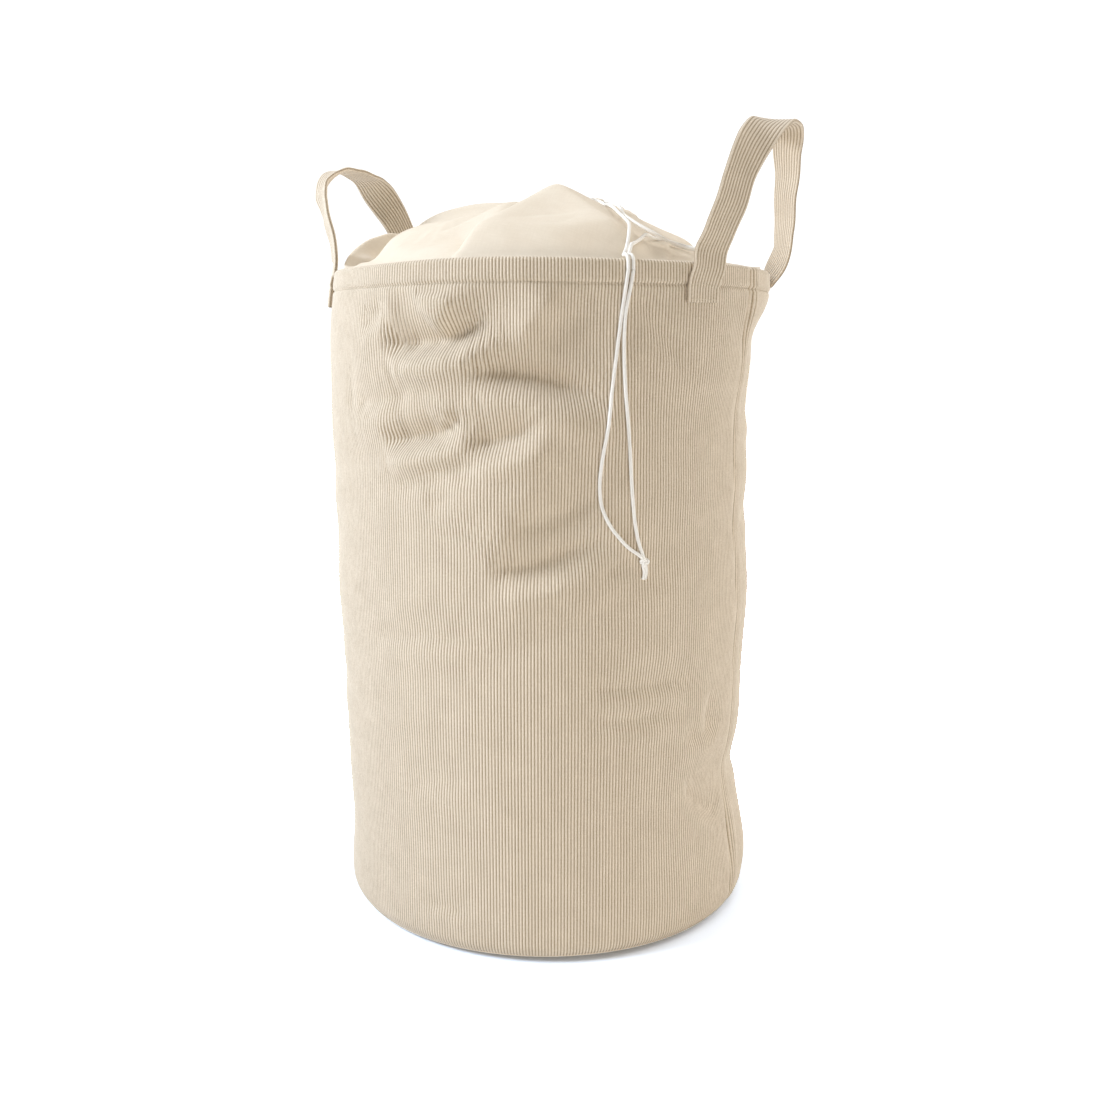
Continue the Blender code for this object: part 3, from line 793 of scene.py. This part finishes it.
COVER_EDGE = 0.1862  # where the cover leaves the inside of the hem
MOUTH = np.array([0.030, 0.010])
MOUTH_RADIUS = 0.0235
MOUTH_RISE = 0.0625
RING_RADIUS = MOUTH_RADIUS - 0.002  # the cord that runs inside the mouth's hem
RING_RISE = MOUTH_RISE + 0.0012
PLEATS = 23

# Folds of the cover, in the frame of the side that its peak faces: how steeply the cloth falls in front of
# and behind each, how round its crest is, and the crest as (right, away, up from the rim), in millimetres.
FOLDS = [
    (0.58, 0.6, 12,
     [(-30, -30, 58), (-44, -20, 56), (-70, -20, 52.5), (-94, -20, 48), (-126.5, 0, 42.5), (-150, 14, 26)]),
    (0.42, 0.5, 12,
     [(20, 30, 66), (-10, 55, 71.5), (-42, 60, 73), (-75, 60, 70.5), (-115.5, 60, 58), (-150, 62, 30)]),
    (0.36, 0.42, 10,
     [(45, 35, 71.5), (60, 45, 71.2), (69, 50, 68), (87, 50, 59), (114, 50, 47),
      (143, 48, 34), (176, 30, 18)]),
    (0.4, 0.4, 12,
     [(30, 30, 60), (40, 80, 50), (45, 120, 36), (45, 165, 20)]),
    (0.45, 0.45, 12,
     [(0, 30, 60), (-30, 110, 46), (-60, 150, 36)]),
]
# How high the cover's outer edge stands inside the hem, in millimetres by degrees from that side.
LIP = [
    (-180, 17), (-150, 30), (-128, 47), (-118, 46), (-106, 37), (-92, 22), (-80, 8), (-68, 0), (-40, -4),
    (0, -5), (40, -4), (70, 0), (90, 8), (120, 12), (150, 10), (180, 17),
]
# And how deep the hollow is that runs round inside that edge.
HOLLOW = [
    (-180, 10), (-150, 13), (-128, 16), (-95, 10), (-75, 3), (0, 0), (75, 0), (110, 6), (180, 10),
]


def soft_max(first, second, round_off):
    gap = np.clip((first - second) / round_off, -1, 1)
    return np.maximum(first, second) + round_off * np.maximum(0, 1 - np.abs(gap)) ** 2 * 0.25


def facing_frame(x, y):
    c, s = math.cos(FRONT_TURN), math.sin(FRONT_TURN)
    return x * c + y * s, -x * s + y * c


def fold_height(right, away, before, behind, soft, crest):
    """The cloth that falls away on both sides of a crest line."""
    line, soft = smooth_line(np.array(crest) / 1000, 26), soft / 1000
    best = np.full(right.shape, np.inf)
    height = np.zeros(right.shape)
    front = np.zeros(right.shape)
    for start, end in zip(line, line[1:]):
        way = end - start
        share = ((right - start[0]) * way[0] + (away - start[1]) * way[1]) / (way[0] ** 2 + way[1] ** 2)
        share = np.clip(share, 0, 1)
        across, along = right - start[0] - share * way[0], away - start[1] - share * way[1]
        far = across**2 + along**2
        nearer = far < best
        best = np.where(nearer, far, best)
        height = np.where(nearer, start[2] + share * way[2], height)
        front = np.where(nearer, along, front)
    mix = 1 / (1 + np.exp(np.clip(front / 0.006, -30, 30)))
    slope = behind + (before - behind) * mix
    return height - slope * (np.sqrt(best + soft**2) - soft)


def soft_ramp(value, round_off):
    return 0.5 * (value + np.sqrt(value**2 + round_off**2))


def peak_height(right, away):
    """The tent at the front: a nearly flat three-sided face that leans back to a blunt peak."""
    a = right - 0.005
    b = away + 0.060
    ahead = np.clip(-b, 0, 0.2)
    face = 0.0850 - 0.62 * soft_ramp(-b, 0.008) - 0.60 * soft_ramp(b, 0.012)
    sag = 0.0035 * np.exp(-(((b + 0.045) / 0.025) ** 2) - ((a - 0.004) / 0.03) ** 2)
    left = soft_ramp(-a - 0.001 - 0.82 * ahead, 0.004)
    right_side = soft_ramp(a - 0.002 - 0.70 * ahead, 0.005)
    steep = 0.48 + 16 * np.clip(ahead, 0, 0.07)
    return face - sag - steep * left - (0.48 + 4 * np.clip(ahead, 0, 0.10)) * right_side


def cover_height(x, y):
    """How high the cover's cloth is above the rim."""
    right, away = facing_frame(x, y)
    radius = np.hypot(x, y)
    angle = np.degrees(np.arctan2(right, -away))
    height = 0.012 + 0.020 * (1 - (radius / COVER_EDGE) ** 2) - 0.016 * (radius / COVER_EDGE) ** 6
    for fold in FOLDS:
        height = soft_max(height, fold_height(right, away, *fold), 0.008)
    height = soft_max(height, peak_height(right, away), 0.004)
    beside = (0.005 - right) - 0.82 * np.clip(-away - 0.060, 0, 0.2) - 0.014
    height = height - 0.0140 * np.exp(-((beside / 0.016) ** 2) - ((away + 0.075) / 0.040) ** 2)
    lip, hollow = [np.interp(angle, *np.array(profile).T) / 1000 for profile in (LIP, HOLLOW)]
    inset = COVER_EDGE - radius
    edge = ease(1 - inset / 0.045, 0, 1)
    height = height * (1 - edge) + edge * np.minimum(height, lip + 0.004)
    height = height - hollow * np.exp(-(((inset - 0.027) / 0.010) ** 2))
    rise = np.exp(-((inset / 0.011) ** 2))
    return height * (1 - rise) + rise * lip


def pleat_phase(turn):
    """The turn round the mouth, drawn together unevenly, as its pleats are."""
    return turn + 0.10 * np.sin(3 * turn + 1) + 0.05 * np.sin(7 * turn)


def mouth_shape(x, y, height):
    """Draw the cloth in to the gathered mouth, with pleats that fade outwards."""
    away = np.hypot(x - MOUTH[0], y - MOUTH[1]) - MOUTH_RADIUS
    phase = pleat_phase(np.arctan2(y - MOUTH[1], x - MOUTH[0]))
    near = np.exp(-np.maximum(away, 0) / 0.012)
    pleats = 0.0022 * np.cos(PLEATS * phase) * np.exp(-np.maximum(away - 0.002, 0) / 0.014)
    pleats += 0.0012 * np.cos(11 * phase + 2) * np.exp(-np.maximum(away, 0) / 0.030)
    return height * (1 - near) + MOUTH_RISE * near + pleats


def cover_surface(x, y):
    return mouth_shape(x, y, cover_height(x, y))


# Creases left in the cotton from when it was folded: depth, width and line as (right, away), in millimetres.
PRESSED = [
    (2.6, 5, [(-33.6, -133), (0, -122), (32, -116)]),
    (2.4, 4.5, [(-66, -148), (-43, -121), (-21, -92)]),
    (1.8, 4, [(13, -138), (34, -122)]),
    (2.2, 6, [(-125, -70), (-100, -40), (-70, -10)]),
    (2.2, 6, [(-140, -30), (-110, 0), (-60, 30)]),
    (2, 5, [(80, -30), (110, -50), (140, -70)]),
]


def pressed_folds(x, y):
    places = np.stack(facing_frame(x, y), axis=-1)
    total = np.zeros(x.shape)
    for depth, width, line in PRESSED:
        distance, side, closest = beside_line(places, smooth_line(np.array(line) / 1000, 24))
        fade = np.sin(math.pi * np.clip(closest / 23, 0.03, 0.97)) ** 0.6
        reach = np.where(side > 0, 2.2, 0.8) * width / 1000
        total -= depth / 1000 * fade * np.exp(-distance / reach)
    return total


def small_wrinkles(x, y):
    """Soft creases that run outwards from the mouth."""
    turn = np.arctan2(y - MOUTH[1], x - MOUTH[0])
    away = np.hypot(x - MOUTH[0], y - MOUTH[1])
    total = np.zeros(x.shape)
    dice = np.random.default_rng(5)
    for _ in range(26):
        middle, reach = dice.uniform(-math.pi, math.pi), dice.uniform(0.05, 0.15)
        wide, tall = dice.uniform(0.003, 0.008), dice.uniform(0.02, 0.05)
        depth = dice.uniform(-0.0017, 0.0013)
        side = away * turned_by(turn, middle) + dice.uniform(-6, 6) * (away - reach) ** 2
        total += depth * np.exp(-((side / wide) ** 2) - ((away - reach) / tall) ** 2)
    return total


def cover_points():
    """The cover's upper face, row by row from its mouth to the rim and down inside the hem."""
    spans = ((0, 0.25, 33), (0.25, 0.80, 51), (0.80, 1, 52))
    steps = np.concatenate([np.linspace(start, end, rows, endpoint=end == 1) for start, end, rows in spans])
    turns = whole_turn(320)
    turn, share = np.meshgrid(turns, steps)
    radius = MOUTH_RADIUS + (COVER_EDGE - MOUTH_RADIUS) * share
    x = MOUTH[0] * (1 - share) + radius * np.cos(turn)
    y = MOUTH[1] * (1 - share) + radius * np.sin(turn)
    turned = np.degrees(turned_by(turn, FACE))
    behind = np.where(turned < 0, ease(-turned, 122, 150), ease(turned, 75, 110))
    edge = wall_surface(turns, np.full(turns.shape, HEIGHT - 0.004)) - HEM_THICKNESS - 0.0022
    up = cover_surface(x, y) + (small_wrinkles(x, y) + pressed_folds(x, y)) * (1 - share) ** 0.3
    waves = 0.0022 * np.sin(7 * turn + 1.0) + 0.0014 * np.sin(13 * turn + 0.4) + 0.0009 * np.sin(29 * turn)
    up = up + behind * waves * ease(share, 0.75, 1.0)
    lean = 1 - 0.30 * np.clip(up[-1] - 0.006, 0, None) / COVER_EDGE
    grow = 1 + (edge / COVER_EDGE * lean - 1) * share**3
    depth = np.linspace(0, 1, 14)[1:, None]
    low = (1 - depth) * up[-1] - 0.014 * depth
    reach = edge * (lean + (1 - lean) * (1 - (1 - depth) ** 2))
    top = np.stack([x * grow, y * grow, HEIGHT + up], axis=-1)
    return np.concatenate([top, around(reach, turns, HEIGHT + low)])


def add_cover():
    outer = cover_points()
    ways = np.cross(np.gradient(outer, axis=0), np.roll(outer, -1, 1) - np.roll(outer, 1, 1))
    ways /= np.linalg.norm(ways, axis=2)[..., None]
    ways *= np.sign(ways[5, :, 2].mean())
    uv = np.stack([outer[..., 0], outer[..., 1] + 0.4 * outer[..., 2]], axis=-1)
    cover = add_piece(shell("cover_cloth", outer, outer - ways * COTTON, uv), "cotton", "closure_cover")


def add_channel():
    """The hem round the mouth: cotton pleated tightly over the cord that runs inside it."""
    turns, sections = whole_turn(640), np.append(whole_turn(18), 0)
    turn, section = np.meshgrid(turns, sections)
    phase = PLEATS * pleat_phase(turn)
    puff = 0.0034 * (1 + 0.20 * np.cos(phase) + 0.10 * np.cos(2 * phase + 1) * np.sin(section))
    reach = RING_RADIUS + 0.0008 * np.sin(2 * turn) + puff * np.cos(section)
    high = RING_RISE + 0.0010 * np.cos(phase) + puff * np.sin(section)
    points = around(reach, turn, HEIGHT + high) + (*MOUTH, 0)
    mesh = grid_mesh("cord_channel_cloth", points, weave_grid(turns * 0.03, sections * 0.003), wrap=True)
    add_piece(mesh, "cotton", "cord_channel")


# ---------------------------------------------------------------- drawcord

STRAND_TOP = 0.592
# The hanging strands, from the rim to the knot: (degrees round the bag, height in millimetres).
LEFT_STRAND = [
    (-50.2, 592), (-50.7, 580), (-51.5, 556), (-52.6, 527), (-53.8, 497), (-55.1, 469), (-56.1, 449),
    (-56.8, 428), (-56.8, 412), (-56.2, 400), (-54.6, 387), (-52.5, 377), (-49.8, 367), (-47.1, 360.5),
    (-45.9, 356.5),
]
RIGHT_STRAND = [
    (-48.9, 592), (-49.5, 580), (-50.6, 556), (-50.9, 527), (-50.7, 497), (-50.2, 472), (-49.7, 448),
    (-49, 415), (-48.3, 390), (-47.4, 373), (-46.2, 361.5), (-45.7, 356.5),
]
# How far the strands' middle hangs off the wall, by height.
SLACK = [(0.354, 0.0042), (0.362, 0.0036), (0.40, 0.0024), (0.55, 0.0026), (0.592, 0.0030)]
KNOT_TURN = math.radians(-45.6)
KNOT_Z = 0.3540
KNOT_SIZE = 0.0030
# The tails below the knot: (places aside, up from its middle).
TAILS = {
    "left": [(-0.6, 0.0005), (-0.5, -0.0030), (0.15, -0.0065), (0.4, -0.0100), (-0.35, -0.0145)],
    "right": [(0.8, 0.0005), (1.15, -0.0030), (1.5, -0.0070), (1.3, -0.0105), (0.75, -0.0138)],
}
# The two leads in plan, in millimetres, from the mouth over the cover to the rim. One lies in a loop.
LEFT_LEAD = [
    (47, -6), (54, -4), (60.5, -9.5), (65.5, -18.5), (69, -28), (76, -46.5), (89, -64.5), (106, -85.5),
    (113.5, -107.5), (118.3, -132),
]
RIGHT_LEAD = [
    (53.5, 8), (61, 9), (68, 3), (76, -9), (85, -32), (93, -56), (101, -73.5), (115, -84), (130, -83.5),
    (143.2, -72.5), (152.1, -58.2), (155.6, -49.8), (154.5, -41.4), (149.1, -36.8), (141.5, -38.5),
    (135.4, -45.2), (129.2, -57.8), (124.4, -73.8), (120.5, -92), (120, -111), (122.2, -130.5),
]
CROSSING = (0.1215, -0.0838)
RIM_BEND = 0.0070  # how gently a lead bends over the rim
SIDES = 14


def cord_mesh(name, line):
    """A braided cord along a line, with both ends closed."""
    rings = tube_points(line, CORD / 2, SIDES, (0.2, -0.4, 0.9))
    turns = np.arange(SIDES) / SIDES * math.pi * CORD
    mesh = grid_mesh(name, rings, weave_grid(turns, reach_along(line)), wrap=True)
    close_ends(mesh, SIDES, len(line))
    return mesh


def closed_cord(name, line, radius, start_side, around_it, along_it):
    """A cord along a line that ends where it starts. The last two are its cloth coordinates."""
    rings = tube_points(line, radius, 12, start_side)
    rings[-1] = rings[0]
    return grid_mesh(name, rings, weave_grid(np.arange(12) * around_it, along_it), wrap=True)


def lead_line(plan, turn):
    """Over the cover, round the rim and down to where the strand starts."""
    x, y = smooth_line(np.array(plan) / 1000, 90).T
    up = cover_surface(x, y)
    wide = np.pad(up, 5, mode="edge")
    up = np.max([wide[place : place + len(up)] for place in range(11)], axis=0)
    up = np.convolve(np.pad(up, 9, mode="edge"), np.ones(19) / 19, mode="valid") + CORD / 2 + 0.0006
    over = np.exp(-(((x - CROSSING[0]) ** 2 + (y - CROSSING[1]) ** 2) / 0.009**2))
    up = up + 0.0034 * over * (np.arange(90) > 60)
    radius = wall_surface(np.array([turn]), np.array([HEIGHT])) - 0.0040
    lean = np.radians([112, 88, 64, 40, 18])
    high = HEIGHT + rim_rise(turn) - 0.0033 + RIM_BEND * np.sin(lean)
    rim = around(radius + RIM_BEND * np.cos(lean), turn, high)
    cover = np.stack([x, y, HEIGHT + up], axis=1)
    return smooth_line(np.vstack([cover, rim, wall_point(turn, STRAND_TOP, 0.0030)]), 130)


def strand_line(route):
    turns, heights = np.array(route).T
    heights = heights / 1000
    slack = np.interp(heights, *np.array(SLACK).T)
    return smooth_line(wall_points(np.radians(turns), heights, slack), 110)


def add_knot():
    """An overhand knot, which looks like a trefoil from the front."""
    out = np.array([math.cos(KNOT_TURN), math.sin(KNOT_TURN), 0])
    side = np.array([-out[1], out[0], 0])
    t = np.append(whole_turn(90), 0)
    across = (np.sin(t) + 2 * np.sin(2 * t)) / 3
    high = 0.95 * (np.cos(t) - 2 * np.cos(2 * t)) / 3
    line = np.outer(across, side) + np.outer(high, (0, 0, 1)) + np.outer(0.42 * np.sin(3 * t), out)
    line = wall_point(KNOT_TURN, KNOT_Z, 0.0046) + KNOT_SIZE * line
    turned, along = math.pi * CORD / 12, np.linspace(0, 0.03, len(t))
    mesh = closed_cord("drawcord_knot_cord", line, CORD / 2 * 0.98, (0.3, 0.5, 0.8), turned, along)
    return add_piece(mesh, "cord", "drawcord_knot", body="drawcord_end")


def add_tail(hand):
    """A tail, whose end is frayed."""
    aside, down = np.array(TAILS[hand]).T
    line = wall_points(KNOT_TURN + np.radians(0.42 * aside), KNOT_Z + down, 0.0036)
    mesh = cord_mesh(f"drawcord_tail_{hand}_cord", smooth_line(line, 22))
    end = np.array([vertex.co for vertex in mesh.vertices[-SIDES:]])
    middle = end.mean(0)
    end = middle + (end - middle) * rng.uniform(0.95, 1.45, (SIDES, 1))
    end += rng.uniform(-0.0005, 0.0003, (SIDES, 1)) * (0, 0, 1)
    for vertex, place in zip(mesh.vertices[-SIDES:], end):
        vertex.co = place
    return add_piece(mesh, "cord", f"drawcord_tail_{hand}", body="drawcord_end")


def add_cord(part, hand, line, **hung):
    """A lead or a strand: a cord along its line."""
    piece = add_piece(cord_mesh(f"drawcord_{part}_{hand}_cord", line), "cord", f"drawcord_{part}_{hand}")
    return piece


def add_drawcord():
    turns = np.linspace(0, 2 * math.pi, 97)
    line = around(RING_RADIUS, turns, np.full(97, HEIGHT + RING_RISE)) + (*MOUTH, 0)
    mesh = closed_cord("drawcord_turn_cord", line, CORD / 2, (0, 0, 1), 0.0008, turns * RING_RADIUS)
    add_piece(mesh, "cord", "drawcord_turn")
    hung = [add_knot(), add_tail("left"), add_tail("right")]
    for hand, plan, route in (("left", LEFT_LEAD, LEFT_STRAND), ("right", RIGHT_LEAD, RIGHT_STRAND)):
        lead = lead_line(plan, math.radians(route[0][0]))
        add_cord("lead", hand, lead, far_end="object", lay="loose")
        strand = add_cord("strand", hand, strand_line(route), far_end="knot", lay="hanging", with_pieces=hung)
        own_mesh(strand)


add_wall_panel("front", SEAM_TURN - math.pi)
add_wall_panel("back", SEAM_TURN)
add_lining()
add_bases()
add_body_stitches()
for handle in HANDLES:
    add_handle(*handle)
add_cover()
add_channel()
add_drawcord()


# ---------------------------------------------------------------- setting

FLOOR_NEAR = 1.35  # painted light: how much brighter than the cloth's light the camera sees the floor next to the bag; it rises to FLOOR_FAR from 0.34 m out, a painted glow that leaves painted shade round the bag's foot
FLOOR_FAR = 9.0
FLOOR_REACH = 30
SEEN = ((1, 1, 1), 1.15)  # the world that the camera sees, and the one that lights the bag
FILL = ((1.0, 0.89, 0.71), 0.20)
CAMERA = (0.0055, -1.166, 0.533)
CAMERA_TIP = math.radians(9.72)
# Name, place, target, size, watts and colour. Places are (right, away, up) from the bag, as seen from the
# side its loose cloth faces.
LIGHTS = (
    ("key", (-2.15, -0.55, 1.75), (0, 0, 0.33), (1.1, 1.2), 73, (0.88, 0.95, 1.04)),
    ("top", (0.8, 0.3, 2.6), (0, 0, 0.5), (2.6, 2.6), 37, (1.0, 0.97, 0.93)),
    ("right_back", (1.85, 0.70, 0.90), (0, 0, 0.42), (1.4, 0.8), 17, (1.0, 0.98, 0.95)),
    ("low_front", (0.5, -1.5, 0.18), (0, 0, 0.06), (1.8, 0.3), 9, (1.0, 0.95, 0.88)),
)


def camera_mix(tree, output, seen, other):
    """The camera sees one shader, and light from everything else meets another."""
    fac = add_node(tree, "LightPath", {}).outputs["Is Camera Ray"]
    mix = add_node(tree, "MixShader", {"Fac": fac, 1: other, 2: seen})
    add_node(tree, output, {"Surface": mix.outputs["Shader"]})


def add_floor():
    mesh = bpy.data.meshes.new("floor")
    corners = [(x * FLOOR_REACH, y * FLOOR_REACH, 0) for x, y in ((-1, -1), (1, -1), (1, 1), (-1, 1))]
    mesh.from_pydata(corners, [], [(0, 1, 2, 3)])
    material = bpy.data.materials.new("floor_painted_glow")
    tree = new_tree(material)
    place = add_node(tree, "TexCoord", {}).outputs["Object"]
    tone = ramp(tree, noise_at(tree, place, 3, 2.0), (0, (0.78, 0.78, 0.78)), (1, (0.80, 0.80, 0.80)))
    # Painted light: the floor that the camera sees glows 1.35 times its light next to the bag and 9 times
    # further out, tinted cool. It is white away from the bag and keeps painted shade round its foot.
    away = add_node(tree, "VectorMath", {0: place}, operation="LENGTH").outputs["Value"]
    spread = {"Value": away, "From Min": 0.21, "From Max": 0.34, "To Min": FLOOR_NEAR, "To Max": FLOOR_FAR}
    bright = add_node(tree, "MapRange", spread, interpolation_type="SMOOTHSTEP").outputs["Result"]
    painted_floor_glow = mix_colours(tree, bright, (0.90, 1.0, 1.17))
    sides = [add_node(tree, "BsdfDiffuse", {"Color": colour}) for colour in (painted_floor_glow, tone)]
    camera_mix(tree, "OutputMaterial", *[side.outputs["BSDF"] for side in sides])
    mesh.materials.append(material)
    add_object("floor", mesh)


def add_world():
    world = bpy.data.worlds.new("studio")
    bpy.context.scene.world = world
    tree = new_tree(world)
    sides = [add_node(tree, "Background", {"Color": tint, "Strength": power}) for tint, power in (SEEN, FILL)]
    camera_mix(tree, "OutputWorld", *[side.outputs["Background"] for side in sides])


def front_place(place):
    """A place given as (right, away, up) from the side the loose cloth faces."""
    return Matrix.Rotation(FRONT_TURN, 3, "Z") @ Vector(place)


def add_softbox(name, place, target, size, watts, colour):
    lamp = bpy.data.lights.new(name, "AREA")
    lamp.shape = "RECTANGLE"
    lamp.size, lamp.size_y = size
    lamp.energy = watts
    lamp.color = colour
    light = add_object(name, lamp)
    light.location = front_place(place)
    light.rotation_mode = "QUATERNION"
    light.rotation_quaternion = (Vector(target) - light.location).to_track_quat("-Z", "Y")


def add_camera():
    """At 1.17 m, just below the rim's height and tipped down a little."""
    lens = bpy.data.cameras.new("camera")
    lens.sensor_width = 36
    lens.lens = 36 * 1200 / 1100
    camera = add_object("camera", lens)
    camera.location = front_place(CAMERA)
    camera.rotation_euler = (math.pi / 2 - CAMERA_TIP, 0, FRONT_TURN)
    bpy.context.scene.camera = camera


add_floor()
add_world()
for softbox in LIGHTS:
    add_softbox(*softbox)
add_camera()
bpy.context.scene.view_settings.view_transform = "Standard"
